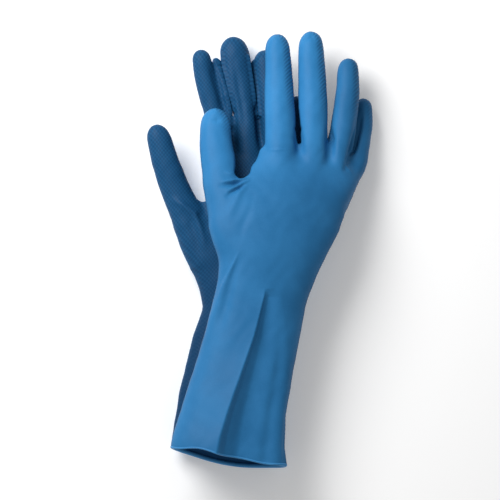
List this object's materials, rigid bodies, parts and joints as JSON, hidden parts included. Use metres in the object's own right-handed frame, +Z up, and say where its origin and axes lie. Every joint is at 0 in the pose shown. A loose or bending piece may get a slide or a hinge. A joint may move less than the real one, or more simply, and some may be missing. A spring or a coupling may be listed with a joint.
{
  "type": "rubber gloves",
  "caption": "Long-cuff household rubber gloves, a left and a right lying palm to palm, with flared gauntlets, rolled cuff edges and digits that bend.",
  "frame": {"origin": "middle of what the pair covers, on the surface it lies on", "axes": "+Y from the cuffs to the fingertips, +Z up, thumbs towards -X"},
  "size_m": [0.1682, 0.3278, 0.0648],
  "materials": {
    "rubber_film": "satin blue latex, with a fine raised grip on the palm side",
    "cuff_bead": "the same latex rolled up, a little lighter and glossier"
  },
  "bodies": {
    "left_hand": {"left_palm": "rubber_film"},
    "left_cuff": {"left_gauntlet": "rubber_film", "left_cuff_bead": "cuff_bead"},
    "left_thumb": {"left_thumb": "rubber_film"},
    "left_index": {"left_index": "rubber_film"},
    "left_middle": {"left_middle": "rubber_film"},
    "left_ring": {"left_ring": "rubber_film"},
    "left_little": {"left_little": "rubber_film"},
    "right_hand": {"right_palm": "rubber_film"},
    "right_cuff": {"right_gauntlet": "rubber_film", "right_cuff_bead": "cuff_bead"},
    "right_thumb": {"right_thumb": "rubber_film"},
    "right_index": {"right_index": "rubber_film"},
    "right_middle": {"right_middle": "rubber_film"},
    "right_ring": {"right_ring": "rubber_film"},
    "right_little": {"right_little": "rubber_film"}
  },
  "joints": [
    {"name": "right_glove_lift", "type": "slide", "parent": "left_hand", "child": "right_hand", "axis": [0, 0, 1], "range_m": [0, 0.15]},
    {"name": "left_thumb_bend", "type": "hinge", "parent": "left_hand", "child": "left_thumb", "pos_m": [-0.06031, 0.04119, 0.02583], "axis": [0.9259, 0.3779, 0], "range_deg": [0, 35], "stiffness_Nm_per_rad": 0.01},
    {"name": "left_index_bend", "type": "hinge", "parent": "left_hand", "child": "left_index", "pos_m": [-0.03488, 0.11073, 0.01858], "axis": [0.9769, 0.2138, 0], "range_deg": [0, 40], "stiffness_Nm_per_rad": 0.01},
    {"name": "left_middle_bend", "type": "hinge", "parent": "left_hand", "child": "left_middle", "pos_m": [-0.01334, 0.11348, 0.01863], "axis": [0.9889, 0.1483, 0], "range_deg": [0, 40], "stiffness_Nm_per_rad": 0.01},
    {"name": "left_ring_bend", "type": "hinge", "parent": "left_hand", "child": "left_ring", "pos_m": [0.0108, 0.08397, 0.01773], "axis": [0.9977, 0.0671, 0], "range_deg": [0, 5], "stiffness_Nm_per_rad": 0.01},
    {"name": "left_little_bend", "type": "hinge", "parent": "left_hand", "child": "left_little", "pos_m": [0.0385, 0.0698, 0.00881], "axis": [-0.0003, -0.0204, -0.9998], "range_deg": [0, 20], "stiffness_Nm_per_rad": 0.01},
    {"name": "right_thumb_bend", "type": "hinge", "parent": "right_hand", "child": "right_thumb", "pos_m": [-0.03076, 0.06326, 0.04704], "axis": [0.9762, 0.217, 0], "range_deg": [0, 35], "stiffness_Nm_per_rad": 0.01},
    {"name": "right_index_bend", "type": "hinge", "parent": "right_hand", "child": "right_index", "pos_m": [0.01547, 0.08128, 0.04499], "axis": [0.9999, 0.0126, 0], "range_deg": [0, 45], "stiffness_Nm_per_rad": 0.01},
    {"name": "right_middle_bend", "type": "hinge", "parent": "right_hand", "child": "right_middle", "pos_m": [0.03916, 0.08171, 0.04205], "axis": [0.9998, -0.0214, 0], "range_deg": [0, 45], "stiffness_Nm_per_rad": 0.01},
    {"name": "right_ring_bend", "type": "hinge", "parent": "right_hand", "child": "right_ring", "pos_m": [0.05884, 0.0781, 0.03642], "axis": [0.9823, -0.1874, 0], "range_deg": [0, 45], "stiffness_Nm_per_rad": 0.01},
    {"name": "right_little_bend", "type": "hinge", "parent": "right_hand", "child": "right_little", "pos_m": [0.07785, 0.07293, 0.02225], "axis": [0.6519, -0.3198, -0.6876], "range_deg": [0, 35], "stiffness_Nm_per_rad": 0.01},
    {"name": "left_wrist_bend", "type": "hinge", "parent": "left_hand", "child": "left_cuff", "pos_m": [-0.04204, -0.03757, 0.012], "axis": [0, 0, -1], "range_deg": [0, 12], "stiffness_Nm_per_rad": 0.05},
    {"name": "right_wrist_bend", "type": "hinge", "parent": "right_hand", "child": "right_cuff", "pos_m": [0.0037, -0.02684, 0.06022], "axis": [-0.9621, 0.2644, 0.0661], "range_deg": [0, 30], "stiffness_Nm_per_rad": 0.05}
  ]
}
